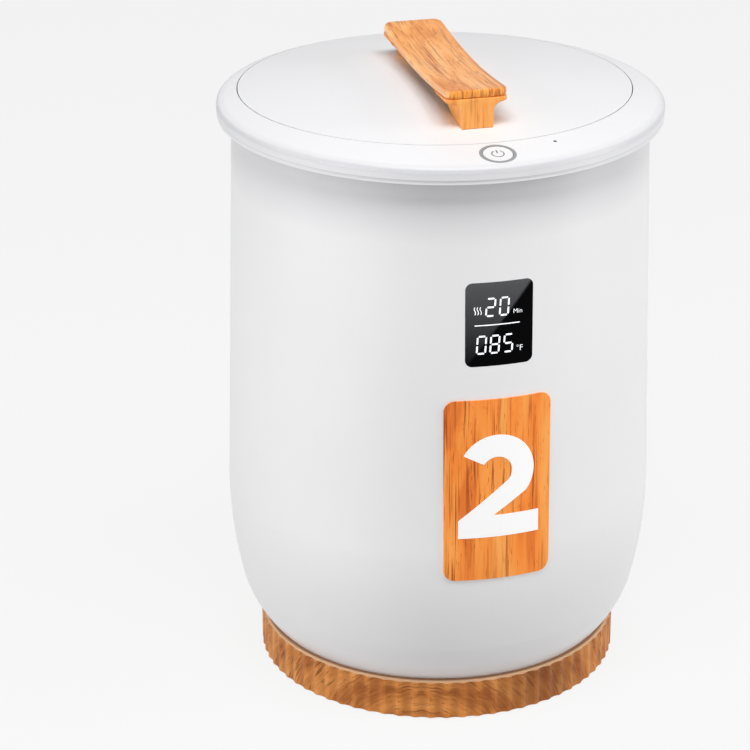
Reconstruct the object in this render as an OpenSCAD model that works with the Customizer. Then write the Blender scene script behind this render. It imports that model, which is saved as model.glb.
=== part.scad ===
// Towel warmer bucket: heated barrel with a lift-off lid and one push button.
// Millimetres, +Z up, front of the bucket faces -Y.
// Origin: centre of the ring of feet, on the surface the bucket stands on.

/* [Barrel] */
// Largest outside radius of the barrel
barrel_radius = 153.5; // [150:0.5:156]
// Height at which the barrel is widest
barrel_waist_z = 138; // [130:1:146]
// Side draft above the widest height, degrees
barrel_draft = 1.4; // [1.2:0.1:1.6]
// Radius of the long curve below the widest height
long_curve = 315; // [300:5:330]
// Radius of the tight curve that runs in to the base
tight_curve = 82.6; // [78:0.2:88]
// Angle at which the long curve hands over to the tight one
curve_handover = 13; // [12:0.5:14]
// Wall thickness of the barrel
barrel_wall = 2.4; // [2:0.1:3]

/* [Top ring] */
// How far the ring stands out past the widest part of the barrel
ring_overhang = 3.5; // [3:0.5:6]
// Underside of the ring
ring_bottom_z = 413.5; // [410:0.5:416]
// Radius of the rounded outer edge
ring_round = 4; // [3:0.5:5]
// Thickness of the ring walls
ring_wall = 3; // [2.5:0.1:3.4]
// Height of the lip band at the foot of the ring
lip_height = 2.8; // [2:0.2:4]
// Step in from the ring side to the lip band
lip_step = 0.5; // [0.3:0.1:0.8]
// Radius of the shallow dome shared by ring and lid
dome_radius = 820; // [780:10:900]
// Height of the dome where it would meet the outside of the ring
ring_edge_z = 424.5; // [424:0.1:426]

/* [Lid] */
// Width of the ring behind the lid
lid_rim = 2.7; // [2.4:0.1:4]
// How far the lid and liner sit behind the barrel axis
lid_offset = 15.5; // [14:0.1:15.6]
// Gap all round the lid
lid_gap = 0.7; // [0.5:0.1:0.9]
// Wall thickness of the lid
lid_wall = 3; // [2.5:0.1:3.2]
// Room between the dished middle of the lid and the towel liner
dish_room = 11; // [10:1:16]
// Depth of the dished middle
dish_depth = 12; // [8:1:16]

/* [Handle] */
// From the front edge of the lid to the front of the handle
handle_inset = 21.3; // [20:0.1:24]
// How far the handle stands to the left of the middle of the lid
handle_shift = 3; // [0:0.5:4]
// Length of the handle
handle_length = 170; // [160:2:190]
// Width of the handle
handle_width = 43; // [40:0.5:46]
// Width of each leg at the lid
leg_width = 22; // [18:0.5:24]
// Length of each leg at the lid
leg_length = 25; // [20:1:30]
// Height of the handle ends above the lid
handle_height = 27.5; // [26:0.5:30]
// Thickness of the top plate
plate_thickness = 6; // [5:0.5:7]
// How far the middle of the handle dips below its ends
saddle_dip = 5; // [3:0.5:6]

/* [Controls] */
// From the outside of the ring to the middle of the power button
button_inset = 18; // [17:0.5:19]
// Radius of the power button
button_radius = 9.92; // [9.5:0.01:9.95]
// Travel of the power button
button_travel = 1; // [0.6:0.1:1.2]
// Outside radius of the grey bezel
bezel_radius = 11.3; // [11:0.1:11.6]
// Indicator light, to the right of the button
indicator_x = 43.4; // [40:0.2:44]
// Indicator light, behind the button
indicator_y = 12.4; // [11:0.2:13]
// Width of the display window
window_width = 47.4; // [44:0.2:50]
// Height of the display window
window_height = 60; // [56:1:64]
// Centre height of the display window
window_z = 311; // [300:0.5:320]
// Width of the front label
label_width = 75.8; // [70:0.2:80]
// Height of the front label
label_height = 134.5; // [120:0.5:140]
// Centre height of the front label
label_z = 189.5; // [184:0.5:192]
// Thickness of the front label
label_thickness = 0.8; // [0.5:0.1:1]

/* [Base] */
// How far the fluted base ring stands out past the barrel
base_lip = 5.1; // [4.5:0.1:6]
// Top of the base ring
base_top_z = 30; // [28:0.5:31]
// Number of flutes
flute_count = 72; // [60:4:80]
// Depth of each flute
flute_depth = 1.2; // [0.8:0.1:1.4]

/* [Liner] */
// How much smaller the towel liner is than the lid
liner_margin = 20.8; // [20.8:0.2:25]
// Height of the liner floor
liner_floor_z = 64; // [62:1:70]
// Wall thickness of the liner
liner_wall = 1.2; // [1:0.1:1.4]
// Inside corner radius at the liner floor
liner_corner = 18; // [14:1:22]

/* [Output] */
// Node to draw

/* [Hidden] */

$fn = 96;

// Clearance between pieces that are pressed or set into each other
set_gap = 0.05;
// Overshoot of a cut past the face it goes through
over = 1;
// Half a size that is larger than the whole bucket
far = 400;

// Colours
white_paint = [0.93, 0.93, 0.94];
wood = [0.87, 0.58, 0.32];
wood_light = [0.94, 0.65, 0.39];
metal = [0.78, 0.79, 0.80];
screw_steel = [0.62, 0.63, 0.65];
board_green = [0.12, 0.36, 0.22];
black_gloss = [0.04, 0.04, 0.05];
dark_plastic = [0.18, 0.18, 0.19];
grey_plastic = [0.55, 0.56, 0.58];
soft_white = [0.86, 0.86, 0.84];
foam = [0.90, 0.86, 0.74];

// Barrel curve: a drafted side, then two arcs, each nearly tangent to the next
long_centre_r = barrel_radius - long_curve;
arc_step = long_curve - tight_curve;
tight_centre_r = long_centre_r + arc_step * cos(curve_handover);
tight_centre_z = barrel_waist_z - arc_step * sin(curve_handover);
// Depth by which neighbouring curves overrun, so that they cross cleanly
curve_lap = 0.1;
shell_bottom_z = 20;
shell_top_z = ring_bottom_z + 2;

// Radius of the drafted side at a height, at a depth below the outer face
function side_radius(z, inset) =
  long_centre_r + (long_curve - inset - curve_lap) / cos(barrel_draft)
  - (z - barrel_waist_z) * tan(barrel_draft);
// Height at which the drafted side hands over to the long curve
function side_start(inset) = barrel_waist_z + (long_curve - inset) * sin(barrel_draft);
// Height at which the long curve hands over to the tight one
function tight_start(inset) = barrel_waist_z - (long_curve - inset) * sin(curve_handover);
// Outside radius of the tight curve at a height
function low_radius(z) =
  tight_centre_r + sqrt(pow(tight_curve + curve_lap, 2) - pow(z - tight_centre_z, 2));

// Ring and dome
ring_radius = barrel_radius + ring_overhang;
dome_centre_z = ring_edge_z - sqrt(pow(dome_radius, 2) - pow(ring_radius, 2));
round_centre_r = ring_radius - ring_round;
round_centre_z = dome_centre_z
  + sqrt(pow(dome_radius - ring_round, 2) - pow(round_centre_r, 2));
tangent_r = round_centre_r * dome_radius / (dome_radius - ring_round);
function dome_z(x, y) = dome_centre_z + sqrt(pow(dome_radius, 2) - x * x - y * y);

// Ring inside
seat_z = ring_bottom_z + 4.5;
seat_thickness = 2.2;
lid_radius = ring_radius - lid_rim - lid_offset;
well_radius = lid_radius + lid_gap;
well_wall = 2.2;
floor_thickness = 3;
skirt_wall = 3.4;
spigot_drop = 7;
spigot_wall = 3;
groove_outer = side_radius(ring_bottom_z, 0) + set_gap;
groove_inner = side_radius(ring_bottom_z, barrel_wall) - 2 * set_gap;
liner_radius = lid_radius - liner_margin;
liner_outer = liner_radius + liner_wall;
liner_flange = 7.8;
seat_opening = liner_outer + 0.4;

// Lid
gasket_height = 1.7;
lid_lift = 0.3;
lid_bottom_z = seat_z + gasket_height + lid_lift;
flange_thickness = 2;
lid_inner = lid_radius - lid_wall + 0.2;
flange_radius = lid_inner - 0.1;
dish_wall = 2;
dish_floor_z = lid_bottom_z - dish_depth;
dish_radius = liner_radius - dish_room;
lid_screw_r = dish_radius + 5.5;
lid_screw_count = 4;
lid_boss_r = 4;
gasket_r = lid_radius - 6.8;
gasket_width = 4.6;
foam_top_z = lid_bottom_z + 2;

// Handle
handle_front_y = lid_offset - lid_radius + handle_inset;
handle_back_y = handle_front_y + handle_length;
handle_mid_y = handle_front_y + handle_length / 2;
handle_top_z = dome_z(0, handle_front_y) + handle_height;
saddle_radius = (pow(handle_length / 2, 2) + pow(saddle_dip, 2)) / (2 * saddle_dip);
saddle_centre_z = handle_top_z - saddle_dip + saddle_radius;
seam_radius = saddle_radius + plate_thickness;
flange_depth = 3.5;
arch_roof = 2.3;
arch_top_z = handle_top_z - saddle_dip - plate_thickness - arch_roof;
arch_foot_z = dome_z(0, handle_front_y + leg_length) - 1;
arch_half = handle_length / 2 - leg_length;
arch_rise = arch_top_z - arch_foot_z;
arch_radius = (pow(arch_half, 2) + pow(arch_rise, 2)) / (2 * arch_rise);
cove_radius = 7.5;
// Glue between the legs and the top plate of the handle
glue_line = 0.05;
cove_top_z = handle_top_z - plate_thickness - flange_depth;
handle_corner = 5.5;
handle_screw_y = [handle_front_y + 12, handle_back_y - 12];
screw_bore = 2.05;
screw_shank = 2;
handle_boss_r = 6;
handle_boss_drop = 3;
screw_bite = 14;

// Button
button_y = ring_radius - button_inset;
button_tilt = asin(button_y / dome_radius);
bezel_inner = button_radius + 0.08;
bezel_depth = 5.5;
cap_flange_r = 10.8;
cap_flange_thickness = 1.4;
cap_flange_top = -bezel_depth - set_gap;
stem_radius = 3;
stem_bottom = -12.5;
switch_board_top = -17;
pcb_thickness = 1.6;
plunger_radius = 1.7;
switch_half = 3;
switch_body_top = -14.6;
plunger_top = stem_bottom - button_travel - 0.05;
lens_radius = 1.3;
lens_flange_r = 2.2;
lens_flange_top = -4.6;
led_half = 1.5;
led_top = -15.6;
sleeve_radius = 13;
sleeve_bottom = -7;
board_post_xy = [[-15.5, 7], [24, 4]];
board_post_r = 2.6;
switch_board_left = 20;
switch_board_length = 70;
switch_board_front = 8;
switch_board_depth = 25;

// Display
wall_y = side_radius(window_z, 0);
holder_width = window_width + 19;
holder_height = window_height + 18;
holder_back_y = -wall_y + 18;
// Layer of tape between the barrel and the display holder
holder_gap = 0.15;
module_width = window_width - 5;
module_height = window_height - 5;
module_depth = 8;
module_gap = 0.2;
board_width = holder_width - 4;
board_height = holder_height - 4;
window_corner = 5;
label_corner = 8;
// Layer of glue between the barrel and the label
label_glue = 0.1;
display_screw_x = board_width / 2 - 4;
display_screw_z = board_height / 2 - 4;
display_screw_length = 8;

// Base
base_bottom_z = 0.8;
plate_bottom_z = 3;
plate_top_z = 6;
base_radius = low_radius(base_top_z) + base_lip;
plate_radius = base_radius - 17;
base_inner = plate_radius - 8;
flute_radius = 10;
rim_height = 1.2;
foot_radius = 9;
foot_ring = plate_radius - 22;
foot_count = 4;
base_screw_length = 12;
base_screw_ring = (plate_radius + base_inner) / 2;
base_screw_count = 6;

// Heater and carrier
film_thickness = 0.6;
film_bottom_z = liner_floor_z + 56;
film_top_z = seat_z - 38;
sleeve_thickness = 6;
sleeve_low_z = liner_floor_z + 28;
sleeve_high_z = ring_bottom_z - 11.5;
liner_base_z = liner_floor_z - liner_wall;
heater_thickness = 1.5;
heater_z = liner_base_z - heater_thickness;
// Room between the carrier and the base ring, which it comes nearest at the back
carrier_room = 2.65;
carrier_outer = base_inner - lid_offset - carrier_room;
heater_hole = 10;
heater_radius = carrier_outer - 8;
carrier_wall = 3;
carrier_windows = 6;

// Control board
pcb_x = 90;
pcb_y = 62;
pcb_z = 22;
pcb_post_x = pcb_x / 2 - 6;
pcb_post_y = pcb_y / 2 - 6;
pcb_centre_y = lid_offset - 10;
post_radius = 4;

// Cord inlet
inlet_z = 58;
inlet_bore = 3.6;
inlet_body = 6.3;
inlet_flange = 9.5;
inlet_wall_y = low_radius(inlet_z);
inlet_back_y = inlet_wall_y + 6;
inlet_nut = 12;

// Filled outline of the barrel, moved in by a depth, between two heights
module barrel_outline(inset, low, high) {
  intersection() {
    polygon([
      [0, barrel_waist_z - far],
      [side_radius(barrel_waist_z - far, inset), barrel_waist_z - far],
      [side_radius(barrel_waist_z + far, inset), barrel_waist_z + far],
      [0, barrel_waist_z + far]
    ]);
    union() {
      translate([long_centre_r, barrel_waist_z]) circle(r = long_curve - inset, $fn = 360);
      translate([0, side_start(inset)]) square([far, far]);
    }
    union() {
      translate([tight_centre_r, tight_centre_z])
        circle(r = tight_curve - inset + curve_lap, $fn = 180);
      square([tight_centre_r, far]);
      translate([0, tight_start(inset)]) square([far, far]);
    }
    translate([0, low]) square([far, high - low]);
  }
}

// The barrel as a filled body
module barrel_body(inset, low, high) {
  rotate_extrude() barrel_outline(inset, low, high);
}

// Outline of the ring filled to the axis, with its domed top and rounded edge
module ring_outline() {
  intersection() {
    union() {
      intersection() {
        translate([0, dome_centre_z]) circle(r = dome_radius, $fn = 720);
        translate([0, round_centre_z - over]) square([tangent_r, far]);
      }
      translate([round_centre_r, round_centre_z]) circle(r = ring_round);
      translate([0, ring_bottom_z + lip_height])
        square([ring_radius, round_centre_z - ring_bottom_z - lip_height]);
      translate([0, ring_bottom_z]) square([ring_radius - lip_step, lip_height + over]);
    }
    translate([0, ring_bottom_z]) square([far, far]);
  }
}

// Everything below a sphere that shares the centre of the dome
module below_dome(depth) {
  translate([0, 0, dome_centre_z]) sphere(r = dome_radius - depth, $fn = 720);
}

// Frame that stands on the dome with its origin at the middle of the button
module on_deck() {
  translate([0, 0, dome_centre_z]) rotate([button_tilt, 0, 0])
    translate([0, 0, dome_radius]) children();
}

// Frame on the axis of the lid and the liner
module on_lid_axis() {
  translate([0, lid_offset, 0]) children();
}

// A rod between two heights
module rod(radius, low, high) {
  translate([0, 0, low]) cylinder(r = radius, h = high - low);
}

// A tube between two heights
module tube(outer, inner, low, high) {
  difference() {
    rod(outer, low, high);
    rod(inner, low - over, high + over);
  }
}

// A rod along Y between two depths
module rod_y(radius, near, deep) {
  translate([0, near, 0]) rotate([-90, 0, 0]) cylinder(r = radius, h = deep - near);
}

// Rectangle with round corners about the origin
module round_rectangle(width, height, corner) {
  union() {
    square([width - 2 * corner, height], center = true);
    square([width, height - 2 * corner], center = true);
    for (sx = [-1, 1])
      for (sy = [-1, 1])
        translate([sx * (width / 2 - corner), sy * (height / 2 - corner)]) circle(r = corner);
  }
}

// Upright rounded panel that runs in from the front, for cutting curved skins
module front_prism(width, height, corner, centre_z) {
  translate([0, 0, centre_z]) rotate([90, 0, 0])
    linear_extrude(height = far) round_rectangle(width, height, corner);
}

// Screw that points up: head below, shank above, origin under the head
module screw_up(shank_r, length, head_r, head_h) {
  difference() {
    union() {
      rod(head_r, 0, head_h);
      rod(shank_r, head_h - set_gap, head_h + length);
    }
    for (turn = [0, 90])
      rotate([0, 0, turn]) translate([-head_r * 0.6, -head_r * 0.12, -over])
        cube([head_r * 1.2, head_r * 0.24, over + head_h * 0.45]);
  }
}

module outer_shell() {
  color(white_paint) difference() {
    barrel_body(0, shell_bottom_z, shell_top_z);
    barrel_body(barrel_wall, shell_bottom_z - over, shell_top_z + over);
    front_prism(window_width + 2 * set_gap, window_height + 2 * set_gap,
      window_corner + set_gap, window_z);
    translate([0, 0, inlet_z]) rod_y(inlet_body + set_gap, 0, far);
  }
}

module top_ring() {
  color(white_paint) difference() {
    union() {
      difference() {
        rotate_extrude() ring_outline();
        ring_cavity();
      }
      intersection() {
        rotate_extrude() ring_outline();
        union() {
          on_lid_axis() rod(well_radius + well_wall, seat_z - seat_thickness, far + far);
          on_deck() rod(sleeve_radius, sleeve_bottom, over);
        }
      }
      ring_posts();
      tube(groove_inner, groove_inner - spigot_wall, ring_bottom_z - spigot_drop,
        ring_bottom_z + floor_thickness);
    }
    on_lid_axis() rod(well_radius, seat_z, far + far);
    on_lid_axis() rod(seat_opening, 0, far + far);
    tube(groove_outer, groove_inner, ring_bottom_z - over, shell_top_z + set_gap);
    on_deck() rod(bezel_radius + set_gap, sleeve_bottom - over, over);
    on_deck() translate([indicator_x, indicator_y, 0])
      rod(lens_radius + set_gap, -2 * ring_wall - over, over);
    on_deck() for (post = board_post_xy)
      translate([post.x, post.y, 0]) rod(1.1, switch_board_top - over, -6);
  }
}

// Hollow under the deck, open to the barrel
module ring_cavity() {
  difference() {
    intersection() {
      rod(ring_radius - skirt_wall, 0, far + far);
      below_dome(ring_wall);
    }
    tube(ring_radius, groove_inner - spigot_wall, 0, ring_bottom_z + floor_thickness);
  }
}

// Posts under the deck that carry the button board
module ring_posts() {
  on_deck() for (post = board_post_xy)
    translate([post.x, post.y, 0]) rod(board_post_r, switch_board_top, -ring_wall);
}

module base_ring() {
  color(wood) difference() {
    union() {
      translate([0, 0, base_bottom_z])
        linear_extrude(height = base_top_z - rim_height - base_bottom_z) difference() {
          circle(r = base_radius, $fn = 288);
          for (i = [0:flute_count - 1])
            rotate([0, 0, i * 360 / flute_count])
              translate([base_radius - flute_depth + flute_radius, 0]) circle(r = flute_radius);
        }
      rod(base_radius - flute_depth - set_gap, base_top_z - rim_height - over, base_top_z);
    }
    barrel_body(-set_gap, shell_bottom_z, shell_top_z);
    rod(base_inner, 0, far);
    rod(plate_radius + set_gap, 0, plate_top_z);
    for (i = [0:base_screw_count - 1])
      rotate([0, 0, (i + 0.5) * 360 / base_screw_count])
        translate([base_screw_ring, 0, 0]) rod(1.5, 0, plate_bottom_z + base_screw_length + 2);
  }
}

module base_plate() {
  color(grey_plastic) difference() {
    rod(plate_radius, plate_bottom_z, plate_top_z);
    for (i = [0:base_screw_count - 1])
      rotate([0, 0, (i + 0.5) * 360 / base_screw_count])
        translate([base_screw_ring, 0, 0]) rod(1.6, 0, far);
    for (i = [0:11])
      rotate([0, 0, i * 30]) translate([0, 0, -over])
        linear_extrude(height = far) translate([62, 0]) round_rectangle(26, 4, 1.9);
  }
}

module base_screws() {
  color(screw_steel) for (i = [0:base_screw_count - 1])
    rotate([0, 0, (i + 0.5) * 360 / base_screw_count])
      translate([base_screw_ring, 0, plate_bottom_z - 1.8]) screw_up(1.45, base_screw_length, 2.9, 1.8);
}

module feet() {
  color(dark_plastic) for (i = [0:foot_count - 1])
    rotate([0, 0, (i + 0.5) * 360 / foot_count]) translate([foot_ring, 0, 0])
      rotate_extrude() polygon([
        [0, 0],
        [foot_radius - 1, 0],
        [foot_radius, 1],
        [foot_radius, plate_bottom_z],
        [0, plate_bottom_z]
      ]);
}

// Outline of the liner's inside, grown by a wall
module liner_outline(grow) {
  union() {
    translate([0, liner_floor_z - grow]) square([liner_radius - liner_corner, far]);
    translate([0, liner_floor_z + liner_corner]) square([liner_radius + grow, far]);
    translate([liner_radius - liner_corner, liner_floor_z + liner_corner])
      circle(r = liner_corner + grow);
  }
}

module inner_bucket() {
  color(metal) on_lid_axis() rotate_extrude() difference() {
    union() {
      intersection() {
        liner_outline(liner_wall);
        square([far, seat_z + liner_wall]);
      }
      translate([0, seat_z]) square([liner_outer + liner_flange, liner_wall]);
    }
    liner_outline(0);
  }
}

module heating_film() {
  color([0.75, 0.45, 0.2]) on_lid_axis()
    tube(liner_outer + film_thickness, liner_outer, film_bottom_z, film_top_z);
}

module insulation_sleeve() {
  color(foam) on_lid_axis()
    tube(liner_outer + film_thickness + sleeve_thickness, liner_outer + film_thickness,
      sleeve_low_z, sleeve_high_z);
}

module floor_heater() {
  color([0.75, 0.45, 0.2]) on_lid_axis() difference() {
    rod(heater_radius, heater_z, liner_base_z);
    rod(heater_hole, 0, far);
  }
}

module thermal_fuse() {
  color(metal) on_lid_axis() translate([36, -14, heater_z - 2.6]) union() {
    rod_y(2.6, 0, 22);
    translate([-5, 6, 1.4]) cube([10, 10, 1.2]);
    rod_y(0.7, -5, 27);
  }
}

module temperature_sensor() {
  color(dark_plastic) on_lid_axis() translate([-42, -6, heater_z - 5]) union() {
    cube([14, 9, 5]);
    translate([7, 9, 2]) rod_y(1.2, 0, 9);
  }
}

module liner_support() {
  color(soft_white) on_lid_axis() difference() {
    union() {
      tube(carrier_outer, carrier_outer - carrier_wall, plate_top_z, liner_base_z);
      tube(carrier_outer - carrier_wall, carrier_outer - 10, plate_top_z, plate_top_z + 3);
    }
    for (i = [0:carrier_windows - 1])
      rotate([0, 0, i * 360 / carrier_windows]) translate([0, 0, plate_top_z + 12])
        translate([-22, -far, 0]) cube([44, far, 28]);
  }
}

module control_board() {
  color(board_green) difference() {
    translate([-pcb_x / 2, pcb_centre_y - pcb_y / 2, pcb_z]) cube([pcb_x, pcb_y, pcb_thickness]);
    at_board_posts() rod(1.6, 0, far);
  }
}

module at_board_posts() {
  for (sx = [-1, 1])
    for (sy = [-1, 1])
      translate([sx * pcb_post_x, pcb_centre_y + sy * pcb_post_y, 0]) children();
}

module board_posts() {
  color(soft_white) at_board_posts() tube(post_radius, 1.3, plate_top_z, pcb_z);
}

module board_screws() {
  color(screw_steel) at_board_posts() translate([0, 0, pcb_z + pcb_thickness + 1.8])
    rotate([180, 0, 0]) screw_up(1.25, 10, 2.7, 1.8);
}

module relay() {
  color(dark_plastic) translate([-34, pcb_centre_y - 12, pcb_z + pcb_thickness])
    cube([29, 13, 16]);
}

module capacitors() {
  color(dark_plastic) for (spot = [[10, 8, 5, 18], [24, 10, 4, 14], [12, -16, 3, 11]])
    translate([spot[0], pcb_centre_y + spot[1], pcb_z + pcb_thickness])
      cylinder(r = spot[2], h = spot[3]);
}

module terminal_block() {
  color(board_green) translate([-18, pcb_centre_y + pcb_y / 2 - 12, pcb_z + pcb_thickness])
    difference() {
      cube([36, 9, 11]);
      for (i = [0:3])
        translate([5 + i * 8.6, 4.5, 6]) cylinder(r = 2.4, h = 6);
    }
}

module display_window() {
  color(black_gloss) intersection() {
    difference() {
      barrel_body(0, window_z - window_height, window_z + window_height);
      barrel_body(barrel_wall, window_z - window_height, window_z + window_height);
    }
    front_prism(window_width, window_height, window_corner, window_z);
  }
}

module display_holder() {
  color(dark_plastic) difference() {
    intersection() {
      barrel_body(barrel_wall + holder_gap, window_z - window_height, window_z + window_height);
      front_prism(holder_width, holder_height, window_corner, window_z);
      translate([-far, -far, 0]) cube([2 * far, far + holder_back_y, 2 * far]);
    }
    translate([-module_width / 2 - module_gap, -far, window_z - module_height / 2 - module_gap])
      cube([module_width + 2 * module_gap, far, module_height + 2 * module_gap]);
    at_display_screws() rod_y(1.0, holder_back_y - display_screw_length - 1, holder_back_y + over);
  }
}

module at_display_screws() {
  for (sx = [-1, 1])
    for (sz = [-1, 1])
      translate([sx * display_screw_x, 0, window_z + sz * display_screw_z]) children();
}

module digit_module() {
  color(soft_white)
    translate([-module_width / 2, holder_back_y - module_depth, window_z - module_height / 2])
      cube([module_width, module_depth, module_height]);
}

module display_board() {
  color(board_green) difference() {
    translate([-board_width / 2, holder_back_y, window_z - board_height / 2])
      cube([board_width, pcb_thickness, board_height]);
    at_display_screws() rod_y(1.2, 0 - far, far);
  }
}

module display_screws() {
  color(screw_steel) at_display_screws()
    translate([0, holder_back_y + pcb_thickness + 1.6, 0]) rotate([90, 0, 0])
      screw_up(0.95, display_screw_length, 2.1, 1.6);
}

module front_label() {
  color(wood_light) intersection() {
    difference() {
      barrel_body(-label_glue - label_thickness, label_z - label_height, label_z + label_height);
      barrel_body(-label_glue, label_z - label_height - over, label_z + label_height + over);
    }
    front_prism(label_width, label_height, label_corner, label_z);
  }
}

module button_bezel() {
  color(grey_plastic) intersection() {
    on_deck() tube(bezel_radius, bezel_inner, -bezel_depth, over);
    below_dome(0);
  }
}

module power_button() {
  color(white_paint) union() {
    intersection() {
      on_deck() rod(button_radius, cap_flange_top - set_gap, over);
      below_dome(0);
    }
    on_deck() rod(cap_flange_r, cap_flange_top - cap_flange_thickness, cap_flange_top);
    on_deck() rod(stem_radius, stem_bottom, cap_flange_top);
  }
}

module button_board() {
  color(board_green) difference() {
    intersection() {
      on_deck()
        translate([-switch_board_left, -switch_board_front, switch_board_top - pcb_thickness])
          cube([switch_board_length, switch_board_depth, pcb_thickness]);
      rod(groove_inner - spigot_wall - 0.5, 0, far + far);
    }
    on_deck() for (post = board_post_xy)
      translate([post.x, post.y, 0]) rod(1.3, -far, far);
  }
}

module tact_switch() {
  color(dark_plastic) on_deck() union() {
    translate([-switch_half, -switch_half, switch_board_top])
      cube([2 * switch_half, 2 * switch_half, switch_body_top - switch_board_top]);
    rod(plunger_radius, switch_body_top - set_gap, plunger_top);
  }
}

module indicator_led() {
  color(soft_white) on_deck() translate([indicator_x, indicator_y, 0])
    translate([-led_half, -led_half, switch_board_top])
      cube([2 * led_half, 2 * led_half, led_top - switch_board_top]);
}

module indicator_lens() {
  color(grey_plastic) intersection() {
    on_deck() translate([indicator_x, indicator_y, 0]) union() {
      rod(lens_radius, led_top, over);
      rod(lens_flange_r, lens_flange_top - 1, lens_flange_top);
    }
    below_dome(0);
  }
}

module button_screws() {
  color(screw_steel) on_deck() for (post = board_post_xy)
    translate([post.x, post.y, switch_board_top - pcb_thickness - 1.6])
      screw_up(1.05, 8, 2.1, 1.6);
}

module cord_inlet() {
  color(dark_plastic) translate([0, 0, inlet_z]) difference() {
    union() {
      difference() {
        rod_y(inlet_flange, inlet_wall_y - 2 * inlet_nut, inlet_back_y);
        translate([0, 0, -inlet_z]) barrel_body(0, shell_bottom_z, shell_top_z);
      }
      rod_y(inlet_body, inlet_wall_y - inlet_nut, inlet_back_y);
      intersection() {
        rod_y(inlet_flange, inlet_wall_y - inlet_nut, inlet_back_y);
        translate([0, 0, -inlet_z]) barrel_body(barrel_wall, shell_bottom_z, shell_top_z);
      }
    }
    rod_y(inlet_bore, 0, far);
  }
}

module lid_top() {
  color(white_paint) difference() {
    union() {
      difference() {
        intersection() {
          on_lid_axis() rod(lid_radius, lid_bottom_z, far + far);
          below_dome(0);
        }
        intersection() {
          on_lid_axis() rod(lid_inner, 0, far + far);
          below_dome(lid_wall);
        }
      }
      intersection() {
        union() {
          at_lid_screws() rod(lid_boss_r, lid_bottom_z + flange_thickness, far + far);
          at_handle_screws() tall_boss();
        }
        below_dome(over);
      }
    }
    at_lid_screws() rod(1.2, 0, dome_z(0, lid_screw_r + lid_offset) - 1.5);
    at_handle_screws() rod(screw_bore, 0, far + far);
  }
}

// Boss that hangs under the lid skin round a handle screw
module tall_boss() {
  rod(handle_boss_r, boss_face_z(), far + far);
}

function boss_face_z() = dome_z(0, handle_front_y) - lid_wall - handle_boss_drop;

module at_lid_screws() {
  on_lid_axis() for (i = [0:lid_screw_count - 1])
    rotate([0, 0, (i + 0.5) * 360 / lid_screw_count]) translate([lid_screw_r, 0, 0]) children();
}

module at_handle_screws() {
  for (y = handle_screw_y)
    translate([-handle_shift, y, 0]) children();
}

module lid_liner() {
  color(soft_white) difference() {
    on_lid_axis() rotate_extrude() difference() {
      union() {
        translate([0, lid_bottom_z]) square([flange_radius, flange_thickness]);
        translate([0, dish_floor_z]) square([dish_radius - 4, dish_depth]);
        translate([0, dish_floor_z + 4]) square([dish_radius, dish_depth - 4]);
        translate([dish_radius - 4, dish_floor_z + 4]) circle(r = 4);
      }
      translate([0, dish_floor_z + dish_wall])
        square([dish_radius - 4, far]);
      translate([0, dish_floor_z + 4]) square([dish_radius - dish_wall, far]);
      translate([dish_radius - 4, dish_floor_z + 4]) circle(r = 4 - dish_wall);
    }
    at_lid_screws() rod(1.7, 0, far + far);
  }
}

module lid_insulation() {
  color(foam) on_lid_axis()
    rod(dish_radius - dish_wall - 0.2, dish_floor_z + 4, foam_top_z);
}

module lid_gasket() {
  color(soft_white) on_lid_axis() rotate_extrude()
    intersection() {
      union() {
        translate([gasket_r, lid_bottom_z - gasket_height / 2])
          square([gasket_width - gasket_height, gasket_height], center = true);
        for (side = [-1, 1])
          translate([gasket_r + side * (gasket_width - gasket_height) / 2,
            lid_bottom_z - gasket_height / 2])
            circle(r = gasket_height / 2);
      }
      square([far, far + far]);
    }
}

module lid_screws() {
  color(screw_steel) at_lid_screws() translate([0, 0, lid_bottom_z - 1.6])
    screw_up(1.15, 6, 2.6, 1.6);
}

// Plan of the handle with round corners
module handle_plan() {
  translate([-handle_shift, handle_mid_y]) round_rectangle(handle_width, handle_length, handle_corner);
}

// A disc across the handle, used to cut its long curves
module cross_disc(radius, centre_z) {
  translate([-handle_shift - handle_width, handle_mid_y, centre_z]) rotate([0, 90, 0])
    cylinder(r = radius, h = 2 * handle_width, $fn = 360);
}

module handle_top() {
  color(wood_light) difference() {
    translate([0, 0, handle_top_z - saddle_dip - plate_thickness - over])
      linear_extrude(height = saddle_dip + plate_thickness + over) handle_plan();
    cross_disc(saddle_radius, saddle_centre_z);
    difference() {
      translate([-handle_shift - handle_width, handle_front_y - over, 0])
        cube([2 * handle_width, handle_length + 2 * over, far + far]);
      cross_disc(seam_radius, saddle_centre_z);
    }
  }
}

module handle_base() {
  color(wood_light) difference() {
    intersection() {
      translate([0, 0, dome_z(0, handle_front_y) - 10])
        linear_extrude(height = handle_height + 10) handle_plan();
      leg_section();
    }
    cross_disc(seam_radius + glue_line, saddle_centre_z);
    cross_disc(arch_radius, arch_top_z - arch_radius);
    below_dome(-set_gap);
    at_handle_screws() rod(screw_shank - 0.3, 0, boss_face_z() + screw_bite + 2);
  }
}

// End view of the handle, run along its whole length
module leg_section() {
  half = handle_width / 2 + over;
  leg_half = leg_width / 2;
  translate([-handle_shift, handle_back_y + over, 0]) rotate([90, 0, 0])
    linear_extrude(height = handle_length + 2 * over) difference() {
      translate([-half, cove_top_z - far]) square([2 * half, 2 * far]);
      for (side = [0, 1])
        mirror([side, 0]) {
          translate([leg_half + cove_radius, cove_top_z - cove_radius]) circle(r = cove_radius);
          translate([leg_half + cove_radius, cove_top_z - cove_radius - over])
            square([handle_width, cove_radius + over]);
          translate([leg_half, cove_top_z - cove_radius - far]) square([handle_width, far]);
        }
    }
}

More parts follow.
